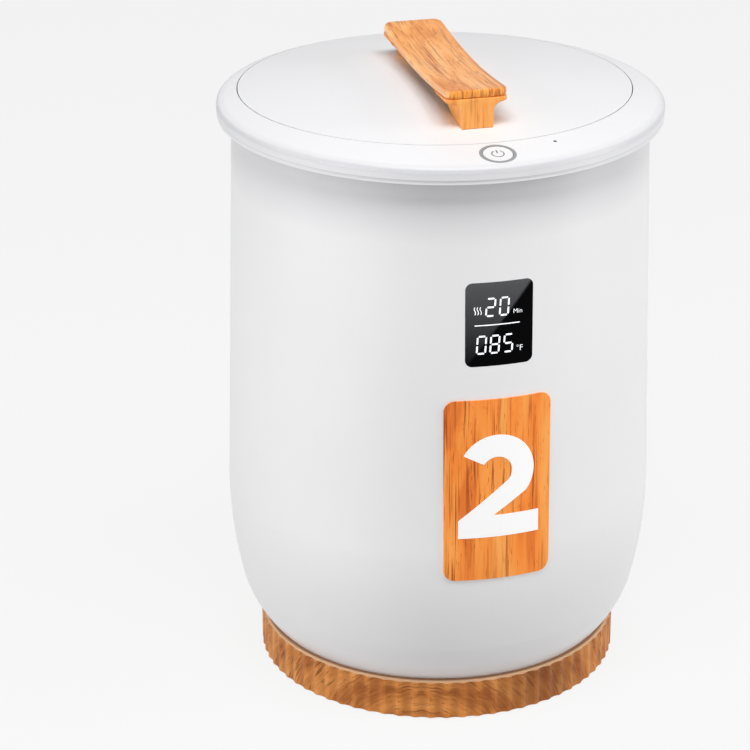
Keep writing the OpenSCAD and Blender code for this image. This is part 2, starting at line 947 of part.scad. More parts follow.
module handle_screws() {
  color(screw_steel) at_handle_screws() translate([0, 0, boss_face_z() - 2.4])
    screw_up(screw_shank - 0.35, screw_bite, 3.8, 2.4);
}

outer_shell();
top_ring();
base_ring();
base_plate();
base_screws();
feet();
inner_bucket();
heating_film();
insulation_sleeve();
floor_heater();
thermal_fuse();
temperature_sensor();
liner_support();
control_board();
board_posts();
board_screws();
relay();
capacitors();
terminal_block();
display_window();
display_holder();
digit_module();
display_board();
display_screws();
front_label();
button_bezel();
power_button();
button_board();
tact_switch();
indicator_led();
indicator_lens();
button_screws();
cord_inlet();
lid_top();
lid_liner();
lid_insulation();
lid_gasket();
lid_screws();
handle_base();
handle_top();
handle_screws();
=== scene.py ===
import math

import bpy
from mathutils import Matrix, Vector


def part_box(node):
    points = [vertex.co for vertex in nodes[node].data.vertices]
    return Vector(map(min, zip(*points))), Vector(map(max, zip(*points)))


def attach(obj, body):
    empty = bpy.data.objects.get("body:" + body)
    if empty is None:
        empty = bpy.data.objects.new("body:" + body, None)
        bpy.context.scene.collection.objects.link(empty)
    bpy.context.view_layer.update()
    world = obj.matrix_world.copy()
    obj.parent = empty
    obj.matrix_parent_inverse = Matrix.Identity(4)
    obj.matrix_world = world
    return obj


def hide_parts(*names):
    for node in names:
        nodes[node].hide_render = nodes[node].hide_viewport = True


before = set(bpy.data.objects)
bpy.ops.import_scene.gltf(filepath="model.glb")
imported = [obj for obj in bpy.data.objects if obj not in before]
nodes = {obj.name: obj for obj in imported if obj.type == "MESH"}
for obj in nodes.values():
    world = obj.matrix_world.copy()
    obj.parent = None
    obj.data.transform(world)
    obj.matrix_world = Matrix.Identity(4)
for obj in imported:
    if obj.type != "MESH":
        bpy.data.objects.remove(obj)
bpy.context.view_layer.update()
print("frame loaded:", len(nodes), "nodes")

mm = 0.001
outside = 0.6  # metres, clear of the object on every side


camera = {
    "distance": 2.0,    # level distance from the barrel axis, metres
    "height": 1.0664,   # metres above the floor
    "turn": 0.27685,    # the lens stands this far to the left of the front, radians
    "tilt": 0.40382,    # looks down by this much
    "roll": 0.0076,
    "focal": 2986.4,    # in pixels of the frame
    "frameSize": 750,
    "axisAt": 438.6,    # where the lens axis meets the frame, pixels from the left
    "sensor": 36,       # millimetres
    "clip": (0.05, 50),
}


def placeCamera(c):
    turn, tilt, roll = c["turn"], c["tilt"], c["roll"]
    ahead = Vector((math.sin(turn) * math.cos(tilt), math.cos(turn) * math.cos(tilt), -math.sin(tilt)))
    right = Vector((math.cos(turn), -math.sin(turn), 0))
    up = right.cross(ahead)
    rightRolled = math.cos(roll) * right + math.sin(roll) * up
    upRolled = math.cos(roll) * up - math.sin(roll) * right
    lens = bpy.data.cameras.new("photoCamera")
    lens.sensor_width = c["sensor"]
    lens.lens = c["focal"] / c["frameSize"] * lens.sensor_width
    lens.shift_x = (c["frameSize"] / 2 - c["axisAt"]) / c["frameSize"]
    lens.clip_start, lens.clip_end = c["clip"]
    eye = bpy.data.objects.new("photoCamera", lens)
    bpy.context.scene.collection.objects.link(eye)
    place = Matrix((rightRolled, upRolled, -ahead)).transposed().to_4x4()
    place.translation = (-c["distance"] * math.sin(turn), -c["distance"] * math.cos(turn), c["height"])
    eye.matrix_world = place
    bpy.context.scene.camera = eye


placeCamera(camera)
bpy.context.scene.view_settings.view_transform = "Standard"
print("camera placed")


def colour(code):  # sRGB hex to the linear value that a shader takes
    parts = [int(code[i:i + 2], 16) / 255 for i in (1, 3, 5)]
    return tuple(p / 12.92 if p <= 0.04045 else ((p + 0.055) / 1.055) ** 2.4 for p in parts) + (1,)


def addNode(tree, kind, inputs=None, feeds=None, stops=None, **settings):
    # one node: settings first, then what goes in, then where each output goes, and ramp stops if it has them
    node = tree.nodes.new("ShaderNode" + kind)
    for name, value in settings.items():
        setattr(node, name, value)
    for name, value in (inputs or {}).items():
        if isinstance(value, bpy.types.NodeSocket):
            tree.links.new(value, node.inputs[name])
        else:
            node.inputs[name].default_value = value
    for name, socket in (feeds or {}).items():
        tree.links.new(node.outputs[name], socket)
    for i, (at, tone) in enumerate(stops or []):
        stripe = node.color_ramp.elements
        element = stripe[i] if i < len(stripe) else stripe.new(at)
        element.position, element.color = at, colour(tone)
    return node


def newMaterial(name, **fixed):
    material = bpy.data.materials.new(name)
    material.use_nodes = True
    tree = material.node_tree
    tree.nodes.clear()
    shader = addNode(tree, "BsdfPrincipled", {k.replace("_", " "): v for k, v in fixed.items()})
    addNode(tree, "OutputMaterial", {"Surface": shader.outputs[0]})
    return material, tree, shader


def straightSpace(tree, size):  # Object coordinates counted in pattern sizes, which are in millimetres
    place = addNode(tree, "TexCoord")
    return addNode(tree, "Mapping", {"Vector": place.outputs["Object"], "Scale": [1000 / s for s in size]}).outputs[0]


baseFigure = {
    "turn": 1.93,           # brings the middle of the cathedral grain to the front, radians
    "radius": 131 * mm,     # where the arc length is measured
    "below": 15 * mm,       # the grain arches spring from this far under the floor
    "squeeze": 0.8,         # below 1 the arches are wider than they are high
    "swayPerMetre": 28.0, "sway": 12 * mm,  # how the arches wander
}


def archSpace(tree, size):
    # unrolled round the Z axis, then (distance from the foot of the arch, arc, height), in pattern sizes
    b = baseFigure
    x, y, z = addNode(tree, "SeparateXYZ", {0: addNode(tree, "TexCoord").outputs["Object"]}).outputs
    angle = addNode(tree, "Math", {0: y, 1: x}, operation="ARCTAN2").outputs[0]
    turned = addNode(tree, "Math", {0: angle, 1: b["turn"]}, operation="ADD").outputs[0]
    folded = addNode(tree, "Math", {0: turned, 1: math.pi / 2}, operation="PINGPONG").outputs[0]
    arc = addNode(tree, "Math", {0: folded, 1: b["radius"]}, operation="MULTIPLY").outputs[0]
    rise = addNode(tree, "Math", {0: z, 1: b["below"]}, operation="ADD").outputs[0]
    flat = addNode(tree, "CombineXYZ", {0: arc, 1: rise}).outputs[0]
    sway = addNode(tree, "TexNoise", {"Vector": flat, "Scale": b["swayPerMetre"], "Detail": 2.0}).outputs["Fac"]
    swayed = addNode(tree, "Math", {0: sway, 1: b["sway"], 2: rise}, operation="MULTIPLY_ADD").outputs[0]
    narrow = addNode(tree, "Math", {0: arc, 1: b["squeeze"]}, operation="MULTIPLY").outputs[0]
    pair = addNode(tree, "CombineXYZ", {0: narrow, 1: swayed}).outputs[0]
    reach = addNode(tree, "VectorMath", {0: pair}, operation="LENGTH").outputs["Value"]
    joined = addNode(tree, "CombineXYZ", {0: reach, 1: arc, 2: z}).outputs[0]
    return addNode(tree, "Mapping", {"Vector": joined, "Scale": [1000 / s for s in size]}).outputs[0]


def mouldedPlastic(name, tone, toneTwo, roughness, grit=0.6, depth=0.02 * mm, coat=0.0, paintedShades=None):
    # moulded ABS, nylon or rubber: even colour with a faint cloud of tone, and a spark-eroded grain,
    # which is really about 0.1 mm and is drawn coarser, grit mm, so that it shows
    material, tree, shader = newMaterial(name, Roughness=roughness, IOR=1.53, Coat_Weight=coat)
    cloud = addNode(tree, "TexNoise", {"Vector": straightSpace(tree, (111, 111, 111)), "Scale": 1.0, "Detail": 2.0})
    even = addNode(tree, "ValToRGB", {"Fac": cloud.outputs["Fac"]}, None, [(0.35, tone), (0.65, toneTwo)])
    body = even.outputs["Color"]
    if paintedShades:  # painted shade: soft grey where little light reaches, as pairs of height and tone
        low, high = paintedShades[0][0], paintedShades[-1][0]
        height = addNode(tree, "SeparateXYZ", {0: addNode(tree, "TexCoord").outputs["Object"]}).outputs[2]
        along = addNode(tree, "MapRange", {"Value": height, "From Min": low, "From Max": high}).outputs[0]
        stops = [((z - low) / (high - low), grey) for z, grey in paintedShades]
        shade = addNode(tree, "ValToRGB", {"Fac": along}, None, stops).outputs["Color"]
        body = addNode(tree, "Mix", {0: 1.0, 6: body, 7: shade}, data_type="RGBA", blend_type="MULTIPLY").outputs[2]
    tree.links.new(body, shader.inputs["Base Color"])
    grain = addNode(tree, "TexNoise", {"Vector": straightSpace(tree, (grit, grit, grit)), "Scale": 1.0, "Detail": 1.0})
    addNode(tree, "Bump", {"Height": grain.outputs["Fac"], "Distance": depth, "Strength": 0.25},
            {"Normal": shader.inputs["Normal"]})
    return material


def woodMeasure(tree, space, w, follow):
    # what a layer of tone can follow: one of the grain's figures, a place on the piece, or the way a face looks
    if follow in w["figures"]:
        size, detail, wander = w["figures"][follow]
        return addNode(tree, "TexNoise", {"Vector": space(tree, size), "Scale": 1.0, "Detail": detail,
                                          "Roughness": 0.6, "Distortion": wander}).outputs["Fac"]
    place = addNode(tree, "TexCoord").outputs["Object"]
    if follow == "fromSpot":
        return addNode(tree, "VectorMath", {0: place, 1: w["spot"]}, operation="DISTANCE").outputs["Value"]
    if follow == "lengthwaysFromSpot":
        along = addNode(tree, "VectorMath", {0: place, 1: (0, 1, 0)}, operation="MULTIPLY").outputs[0]
        return addNode(tree, "VectorMath", {0: along, 1: w["spot"]}, operation="DISTANCE").outputs["Value"]
    if follow == "fromAxis":
        level = addNode(tree, "VectorMath", {0: place, 1: (1, 1, 0)}, operation="MULTIPLY").outputs[0]
        return addNode(tree, "VectorMath", {0: level}, operation="LENGTH").outputs["Value"]
    if follow == "height":
        return addNode(tree, "SeparateXYZ", {0: place}).outputs[2]
    facing = addNode(tree, "SeparateXYZ", {0: addNode(tree, "NewGeometry").outputs["Normal"]}).outputs
    if follow == "upwards":
        return facing[2]
    return addNode(tree, "Math", {0: facing[0 if follow == "sideways" else 1]}, operation="ABSOLUTE").outputs[0]


def grainedWood(name, space, w):
    # sawn wood or its print under satin lacquer: broad bands of tone, with layers of darker and paler tone over them
    material, tree, shader = newMaterial(name, Roughness=w["roughness"], IOR=1.5, Specular_IOR_Level=w["shine"])
    found = {follow: woodMeasure(tree, space, w, follow) for follow in ("band", "streak")}
    tone = addNode(tree, "ValToRGB", {"Fac": found["band"]}, None, w["bands"]).outputs["Color"]
    for layerTone, *amounts in w["layers"]:
        most = 0.0
        for amount, *limits in amounts:
            for follow, start, full in limits:
                if follow not in found:
                    found[follow] = woodMeasure(tree, space, w, follow)
                grows = addNode(tree, "MapRange", {"Value": found[follow], "From Min": start, "From Max": full})
                amount = addNode(tree, "Math", {0: grows.outputs[0], 1: amount}, operation="MULTIPLY").outputs[0]
            most = addNode(tree, "Math", {0: most, 1: amount}, operation="MAXIMUM").outputs[0]
        tone = addNode(tree, "Mix", {0: most, 6: tone, 7: colour(layerTone)}, data_type="RGBA").outputs[2]
    tree.links.new(tone, shader.inputs["Base Color"])
    if "glow" in w:  # painted glow: a little lighter than plain wood in the same light
        tree.links.new(tone, shader.inputs["Emission Color"])
        shader.inputs["Emission Strength"].default_value = w["glow"]
    addNode(tree, "Bump", {"Height": found["streak"], "Distance": 0.05 * mm, "Strength": 0.35},
            {"Normal": shader.inputs["Normal"]})
    return material


def metal(name, tone, toneTwo, roughness, brush):
    # drawn or machined metal: lines that spread the highlight one way, and a slow change of tone.
    # Real lines are hundredths of a mm apart; brush, in mm, is coarser so that they show
    material, tree, shader = newMaterial(name, Metallic=1.0, Roughness=roughness)
    cloud = addNode(tree, "TexNoise", {"Vector": straightSpace(tree, (71, 71, 71)), "Scale": 1.0, "Detail": 2.0})
    addNode(tree, "ValToRGB", {"Fac": cloud.outputs["Fac"]}, {"Color": shader.inputs["Base Color"]},
            [(0.3, tone), (0.7, toneTwo)])
    lines = addNode(tree, "TexNoise", {"Vector": straightSpace(tree, brush), "Scale": 1.0, "Detail": 2.0})
    addNode(tree, "Bump", {"Height": lines.outputs["Fac"], "Distance": 0.02 * mm, "Strength": 0.3},
            {"Normal": shader.inputs["Normal"]})
    return material


# a painted reflection on the window, paler at the upper left
windowSheen = {
    "centreZ": 311 * mm, "half": 30 * mm,
    "slope": -1.28, "soft": 1.6 * mm,  # of the diagonal that cuts the sheen off
    "black": "#030304",
    "stops": [(0.0, "#0b0b0c"), (0.25, "#2c2d2f"), (0.6, "#47484a"), (1.0, "#5c5d5f")],
}


def smokedAcrylic(name, g):
    # back-printed black acrylic: deep black, with a painted reflection, a paler upper left half that fades downwards
    material, tree, shader = newMaterial(name, Roughness=0.09, IOR=1.49, Specular_IOR_Level=0.03)
    x, y, z = addNode(tree, "SeparateXYZ", {0: addNode(tree, "TexCoord").outputs["Object"]}).outputs
    high = addNode(tree, "Math", {0: z, 1: -g["centreZ"]}, operation="ADD").outputs[0]
    lean = addNode(tree, "Math", {0: x, 1: g["slope"], 2: high}, operation="MULTIPLY_ADD").outputs[0]
    cut = addNode(tree, "MapRange", {"Value": lean, "From Min": -g["soft"], "From Max": g["soft"]}).outputs[0]
    along = addNode(tree, "MapRange", {"Value": high, "From Min": -g["half"], "From Max": g["half"]}).outputs[0]
    fade = addNode(tree, "ValToRGB", {"Fac": along}, None, g["stops"]).outputs["Color"]
    addNode(tree, "Mix", {0: cut, 6: colour(g["black"]), 7: fade}, {2: shader.inputs["Base Color"]}, data_type="RGBA")
    return material


def shiningWhite(name, size, glow, tones):
    # white that is lighter than its light makes it, with a faint cloud of tone; tones go by socket
    material, tree, shader = newMaterial(name, Roughness=0.5, Emission_Strength=glow)
    cloud = addNode(tree, "TexNoise", {"Vector": straightSpace(tree, (size, size, size)), "Scale": 1.0, "Detail": 1.0})
    for socket, (dim, bright) in tones.items():
        addNode(tree, "ValToRGB", {"Fac": cloud.outputs["Fac"]}, {"Color": shader.inputs[socket]},
                [(0.3, dim), (0.6, bright)])
    return material


shellPaintedShade = [  # painted shade: greyer near the foot and under the ring
    (20 * mm, "#f5f5f6"), (120 * mm, "#fefefe"), (200 * mm, "#ffffff"), (368 * mm, "#ffffff"),
    (390 * mm, "#f2f2f3"), (403 * mm, "#eaeaeb"), (409.5 * mm, "#dbdbdd"), (413.5 * mm, "#c7c7c9")]
ringPaintedShade = [  # painted shade: a fine line over the lip, and a grey rounding between the side and the deck
    (413 * mm, "#ffffff"), (415.9 * mm, "#ffffff"), (416.3 * mm, "#d8d8da"), (416.9 * mm, "#fafafb"),
    (420.2 * mm, "#f6f6f8"), (421.4 * mm, "#e9e9eb"), (422.2 * mm, "#e0e0e2"), (423.2 * mm, "#dadadc"),
    (424 * mm, "#e2e2e4"), (424.7 * mm, "#f0f0f1"), (425.7 * mm, "#ffffff")]
# satin white plastic with soft broad highlights: shell, ring and lid; the shell's white is a little paler than the
# ring's and lid's, painted light for walls that the top light reaches less
whiteAbs = mouldedPlastic("satinWhiteShellAbs", "#f7f7f8", "#f5f5f6", 0.36, grit=0.7, depth=0.01 * mm, coat=0.03,
                          paintedShades=shellPaintedShade)
ringAbs = mouldedPlastic("satinWhiteRingAbs", "#f2f2f4", "#f0f0f2", 0.42, grit=0.7, depth=0.01 * mm, paintedShades=ringPaintedShade)
lidAbs = mouldedPlastic("satinWhiteLidAbs", "#f2f2f4", "#f0f0f2", 0.42, grit=0.7, depth=0.01 * mm)
innerAbs = mouldedPlastic("mouldedWhitePolypropylene", "#dcdcd8", "#d4d4cf", 0.55)  # dull, slightly warm inner parts
blackNylon = mouldedPlastic("mouldedBlackNylon", "#1d1d1f", "#242427", 0.55)  # near black, no sharp glints
rubber = mouldedPlastic("mouldedRubberFeet", "#17171a", "#1f1f22", 0.8)  # matt black
silicone = mouldedPlastic("mouldedSiliconeGasket", "#e3e3df", "#dadad5", 0.6)  # milky and soft
felt = mouldedPlastic("needledFeltInsulation", "#d9cdac", "#c8ba96", 0.95, grit=1.6, depth=0.4 * mm)  # rough, straw
boardGreen = mouldedPlastic("solderMaskBoard", "#1c5636", "#17492e", 0.38, grit=2.5)  # glossy green lacquer
kapton = mouldedPlastic("polyimideHeaterFilm", "#b0662a", "#9c5722", 0.3, grit=3.0, depth=0.03 * mm)  # amber film
bezelGrey = mouldedPlastic("paintedGreyBezelAbs", "#9a9da0", "#929598", 0.34)  # silver-grey paint
lensGrey = mouldedPlastic("smokedIndicatorLens", "#55585c", "#4c4f53", 0.2, coat=0.6)  # dark and wet looking
printGrey = mouldedPlastic("padPrintedGrey", "#85888b", "#7d8083", 0.4, grit=0.5)  # flat grey ink
steel = metal("zincPlatedSteel", "#b9bbbe", "#adb0b4", 0.32, (1.667, 1.667, 16.67))  # cool grey, turned lines
aluminium = metal("drawnAluminium", "#d8dadd", "#cfd2d6", 0.3, (25, 25, 1.111))  # bright, lines round the bucket
blackAcrylic = smokedAcrylic("smokedAcrylicWindow", windowSheen)
litWhite = shiningWhite("litDigitWhite", 3.333, 0.6, {  # light modules behind the window: even cool white
    "Emission Color": ("#e4e7ee", "#fbfcff"), "Base Color": ("#d9dde2", "#eef1f4")})
printWhite = shiningWhite("screenPrintedWhite", 1.429, 0.14, {  # opaque ink, with a painted glow a little whiter than the shell
    "Emission Color": ("#fbfbfb", "#ffffff"), "Base Color": ("#fbfbfb", "#ffffff")})

# Each figure of a wood is its size in mm along the three ways of its space, its detail and how much it wanders.
# Real pores and streaks of pine are some tenths of a mm wide; they are drawn 1 to 2 mm wide so that they show.
# Each layer is its tone and one or two amounts, of which the greater counts. An amount is a share and what it follows,
# with where that starts and where it is full.
boardWood = grainedWood("lacqueredPineBoard", straightSpace, {
    "roughness": 0.42, "shine": 0.3,
    "bands": [(0.32, "#e2883e"), (0.45, "#f4a254"), (0.56, "#ffb46a"), (0.68, "#ffc07c")],
    "figures": {"band": ((13.33, 83.33, 25), 3.0, 0.6), "cluster": ((14.29, 100, 25), 1.0, 0.0),
                "streak": ((1.429, 90.9, 16.67), 3.0, 0.15), "pore": ((1.111, 14.29, 16.67), 2.0, 0.0)},
    "layers": [
        ("#ffab48", (0.9, ("endways", 0.45, 0.75))),  # end grain, yellower
        ("#a84c26", (0.62, ("streak", 0.485, 0.575), ("cluster", 0.38, 0.62)),
         (0.75, ("streak", 0.48, 0.58), ("endways", 0.45, 0.75))),  # cut streaks show as bars on the ends
        ("#ac5228", (0.5, ("pore", 0.575, 0.635))),
        ("#ffdcb4", (0.35, ("sideways", 0.55, 0.85))),  # painted highlight: the long side faces paler
    ]})
legWood = grainedWood("lacqueredPineLegs", straightSpace, {
    "roughness": 0.42, "shine": 0.3,
    "bands": [(0.32, "#ea9343"), (0.45, "#faa856"), (0.58, "#ffb664"), (0.70, "#ffbf70")],
    "figures": {"band": ((9.09, 9.09, 83.33), 3.0, 0.6), "cluster": ((11.11, 11.11, 50), 1.0, 0.0),
                "streak": ((1.923, 1.923, 62.5), 3.0, 0.15), "pore": ((1.111, 1.111, 16.67), 2.0, 0.0)},
    "spot": (0, -17 * mm, 0),  # of this only Y counts, the middle of the finger gap
    "layers": [
        ("#d0762e", (0.6, ("streak", 0.50, 0.59), ("cluster", 0.38, 0.62))),
        ("#bb6224", (0.4, ("pore", 0.62, 0.68))),
        ("#5b544e", (0.85, ("upwards", -0.4, -0.6), ("lengthwaysFromSpot", 62.01 * mm, 62 * mm))),  # painted shade: the downward faces over the finger gap dark grey-brown
    ]})
labelWood = grainedWood("printedPineLabel", straightSpace, {
    # glow here is a painted glow that lifts the printed wood
    "roughness": 0.5, "shine": 0.05, "glow": 0.13,
    "bands": [(0.36, "#e67c38"), (0.43, "#fc9342"), (0.53, "#ffa04e"), (0.66, "#ffad5c")],
    "figures": {"band": ((17.24, 50, 166.7), 3.0, 0.6), "cluster": ((16.67, 33.33, 111.1), 1.0, 0.0),
                "streak": ((1.4706, 12.5, 76.92), 3.0, 0.15), "pore": ((1, 5, 11.11), 2.0, 0.0)},
    "layers": [
        ("#93401e", (0.8, ("streak", 0.515, 0.605), ("cluster", 0.38, 0.62))),
        ("#a04a1c", (0.6, ("pore", 0.63, 0.69))),
    ]})
baseWood = grainedWood("printedWoodBase", archSpace, {
    "roughness": 0.42, "shine": 0.25,
    "bands": [(0.32, "#b5682a"), (0.45, "#d68640"), (0.56, "#e6964a"), (0.70, "#f2a85e")],
    "figures": {"band": ((10.526, 33.33, 33.33), 3.0, 0.6), "cluster": ((25, 22.22, 22.22), 1.0, 0.0),
                "streak": ((1.4286, 23.81, 23.81), 3.0, 0.15), "pore": ((1.111, 5, 8.333), 2.0, 0.0)},
    "spot": (46 * mm, -122.6 * mm, 15 * mm),  # middle of the dark region, right of the front
    "layers": [
        ("#7c3c12", (0.75, ("streak", 0.525, 0.615), ("cluster", 0.38, 0.62))),
        ("#6a300e", (0.6, ("pore", 0.635, 0.695))),
        ("#7e441c", (0.6, ("fromSpot", 52 * mm, 12 * mm))),  # heartwood
        ("#7a3c16", (0.3, ("fromAxis", 130.9 * mm, 129.9 * mm))),  # lacquer and shade gather in the flutes
        ("#ffd9b0", (0.8, ("height", 28.75 * mm, 28.76 * mm))),  # painted highlight: a pale line along the upper edge
        ("#a06c48", (0.8, ("height", 28.75 * mm, 28.76 * mm), ("fromAxis", 128.9 * mm, 128.5 * mm))),  # ledge in shade
    ]})

finishes = {
    "outer_shell": whiteAbs, "top_ring": ringAbs, "lid_top": lidAbs, "power_button": lidAbs,
    "base_ring": baseWood, "front_label": labelWood, "handle_base": legWood, "handle_top": boardWood,
    "display_window": blackAcrylic, "button_bezel": bezelGrey, "indicator_lens": lensGrey,
    "base_plate": blackNylon, "feet": rubber, "cord_inlet": blackNylon,
    "inner_bucket": aluminium, "heating_film": kapton, "insulation_sleeve": felt, "floor_heater": kapton,
    "thermal_fuse": steel, "temperature_sensor": blackNylon, "liner_support": innerAbs,
    "control_board": boardGreen, "board_posts": innerAbs, "relay": blackNylon, "capacitors": blackNylon,
    "terminal_block": boardGreen, "display_holder": blackNylon, "digit_module": innerAbs,
    "display_board": boardGreen, "button_board": boardGreen, "tact_switch": blackNylon,
    "indicator_led": innerAbs, "lid_liner": innerAbs, "lid_insulation": felt, "lid_gasket": silicone,
    "base_screws": steel, "board_screws": steel, "display_screws": steel, "button_screws": steel,
    "lid_screws": steel, "handle_screws": steel,
}
for name, node in nodes.items():
    node.data.materials.clear()
    node.data.materials.append(finishes[name])
print("materials on", len(finishes), "nodes")


def deselect():
    if bpy.context.object and bpy.context.object.mode != "OBJECT":
        bpy.ops.object.mode_set(mode="OBJECT")
    bpy.ops.object.select_all(action="DESELECT")


def onlySelect(pieces):
    deselect()
    for piece in pieces:
        piece.select_set(True)
    bpy.context.view_layer.objects.active = pieces[0]


def joinPieces(pieces, name):
    onlySelect(pieces)
    bpy.ops.object.join()
    bpy.ops.object.transform_apply(location=True, rotation=True, scale=True)
    bpy.context.object.name = name
    return bpy.context.object


def ownCopy(piece):  # a copy with its own mesh
    twin = piece.copy()
    twin.data = piece.data.copy()
    bpy.context.scene.collection.objects.link(twin)
    return twin


def bevelEdges(piece, offset, segments, isWanted=None, sharpness=60):
    # rounds the edges that isWanted picks by their two ends, or all that are sharper than the angle
    onlySelect([piece])
    bpy.ops.object.mode_set(mode="EDIT")
    bpy.ops.mesh.select_mode(type="EDGE")
    bpy.ops.mesh.select_all(action="DESELECT")
    if isWanted:
        bpy.ops.object.mode_set(mode="OBJECT")
        for edge in piece.data.edges:
            edge.select = isWanted(*(piece.data.vertices[i].co for i in edge.vertices))
        bpy.ops.object.mode_set(mode="EDIT")
    else:
        bpy.ops.mesh.edges_select_sharp(sharpness=math.radians(sharpness))
    bpy.ops.mesh.bevel(offset=offset, segments=segments, affect="EDGES")
    bpy.ops.object.mode_set(mode="OBJECT")


def crossCuts(piece, step, axis):
    # cuts across every step along an axis, so that the piece can be bent
    onlySelect([piece])
    low = min(v.co[axis] for v in piece.data.vertices)
    high = max(v.co[axis] for v in piece.data.vertices)
    normal = Vector((0, 0, 0))
    normal[axis] = 1
    bpy.ops.object.mode_set(mode="EDIT")
    for i in range(1, math.ceil((high - low) / step - 0.1)):
        bpy.ops.mesh.select_all(action="SELECT")
        bpy.ops.mesh.bisect(plane_co=normal * (low + i * step), plane_no=normal)
    bpy.ops.object.mode_set(mode="OBJECT")


def smoothByAngle(piece, angle=35):
    onlySelect([piece])
    bpy.ops.object.shade_smooth_by_angle(angle=math.radians(angle))


def finishPiece(piece, material, body):
    piece.data.materials.clear()
    piece.data.materials.append(material)
    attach(piece, body)


handleBoard = {
    "width": 43 * mm, "length": 170 * mm, "thickness": 6 * mm,
    "dip": 5 * mm,                          # of the saddle, at its middle
    "corner": 7 * mm, "cornerSteps": 8,     # seen from above
    "edgeRound": 2 * mm, "edgeSteps": 3,    # along the upper and lower edges
    "cutEvery": 5 * mm,
}


def makeHandleBoard(p):
    low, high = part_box("handle_top")
    deselect()
    bpy.ops.mesh.primitive_cube_add(size=1, location=(0, 0, 0))
    board = bpy.context.object
    board.name = "handleBoard"
    board.scale = (p["width"], p["length"], p["thickness"])
    bpy.ops.object.transform_apply(scale=True)
    bevelEdges(board, p["corner"], p["cornerSteps"], lambda a, b: abs(a.z - b.z) > p["thickness"] / 2)
    crossCuts(board, p["cutEvery"], 1)
    bevelEdges(board, p["edgeRound"], p["edgeSteps"])
    saddle = ((p["length"] / 2) ** 2 + p["dip"] ** 2) / (2 * p["dip"])
    for vertex in board.data.vertices:  # the flat slab is laid on two curves with one centre
        x, y, z = vertex.co
        radius = saddle + p["thickness"] / 2 - z
        vertex.co = (x + (low.x + high.x) / 2, y + (low.y + high.y) / 2,
                     high.z - p["dip"] + saddle - math.sqrt(radius ** 2 - y ** 2))
    smoothByAngle(board)
    finishPiece(board, boardWood, "lid")
    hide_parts("handle_top")


makeHandleBoard(handleBoard)
print("handle board made")


handleLegs = {
    "edgeRound": 0.7 * mm, "edgeSteps": 2, "sharperThan": 50,
    "mergeWithin": 0.002 * mm, "flatWithin": 0.2,   # degrees
}


def makeHandleLegs(p):  # the CAD body of the handle, merged and with its sharp edges rounded
    legs = bpy.data.objects.new("handleLegs", nodes["handle_base"].data.copy())
    bpy.context.scene.collection.objects.link(legs)
    onlySelect([legs])
    bpy.ops.object.mode_set(mode="EDIT")
    bpy.ops.mesh.select_all(action="SELECT")
    bpy.ops.mesh.remove_doubles(threshold=p["mergeWithin"])
    bpy.ops.mesh.dissolve_limited(angle_limit=math.radians(p["flatWithin"]))
    bpy.ops.object.mode_set(mode="OBJECT")
    bevelEdges(legs, p["edgeRound"], p["edgeSteps"], sharpness=p["sharperThan"])
    smoothByAngle(legs)
    finishPiece(legs, legWood, "lid")
    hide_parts("handle_base")


makeHandleLegs(handleLegs)
print("handle legs made")


def wrapOnWall(piece, node, radius, lift):
    # x becomes an arc round the barrel and y stands off the wall, which is found on the CAD node itself
    wall = nodes[node]
    for vertex in piece.data.vertices:
        angle = vertex.co.x / radius
        out = Vector((math.sin(angle), -math.cos(angle), 0))
        start = out * outside + Vector((0, 0, vertex.co.z))
        hit, point, _, _ = wall.ray_cast(start, -out)
        reach = math.hypot(point.x, point.y) if hit else radius
        vertex.co = out * (reach + lift - vertex.co.y) + Vector((0, 0, vertex.co.z))
    piece.data.update()


def flatBar(width, height, thickness, chamfer):
    # an upright bar in the XZ plane about the origin, with its four corners cut off
    deselect()
    bpy.ops.mesh.primitive_cube_add(size=1, location=(0, 0, 0))
    bar = bpy.context.object
    bar.scale = (width, thickness, height)
    bpy.ops.object.transform_apply(scale=True)
    bevelEdges(bar, chamfer, 1, lambda a, b: abs(a.y - b.y) > thickness / 2)
    return bar


def strokeMesh(name, points, width, thickness):
    # a stroke of even width through points in the XZ plane, pressed flat
    line = bpy.data.curves.new(name, "CURVE")
    line.dimensions = "3D"
    spline = line.splines.new("POLY")
    spline.points.add(len(points) - 1)
    for point, (x, z) in zip(spline.points, points):
        point.co = (x, 0, z, 1)
    line.bevel_depth = width / 2
    line.bevel_resolution = 1
    line.use_fill_caps = True
    piece = bpy.data.objects.new(name, line)
    bpy.context.scene.collection.objects.link(piece)
    onlySelect([piece])
    bpy.ops.object.convert(target="MESH")
    piece = bpy.context.object
    for vertex in piece.data.vertices:
        vertex.co.y *= thickness / width
    return piece


def textMesh(words, height, left, base, thickness, thinner):
    deselect()
    bpy.ops.object.text_add(location=(0, 0, 0), rotation=(0, 0, 0))
    bpy.context.object.data.body = words
    bpy.context.object.data.size = height
    bpy.context.object.data.extrude = thickness / 2
    bpy.context.object.data.offset = -thinner
    bpy.ops.object.convert(target="MESH")
    for vertex in bpy.context.object.data.vertices:
        x, y, z = vertex.co
        vertex.co = (left + x, -z, base + y)
    return bpy.context.object


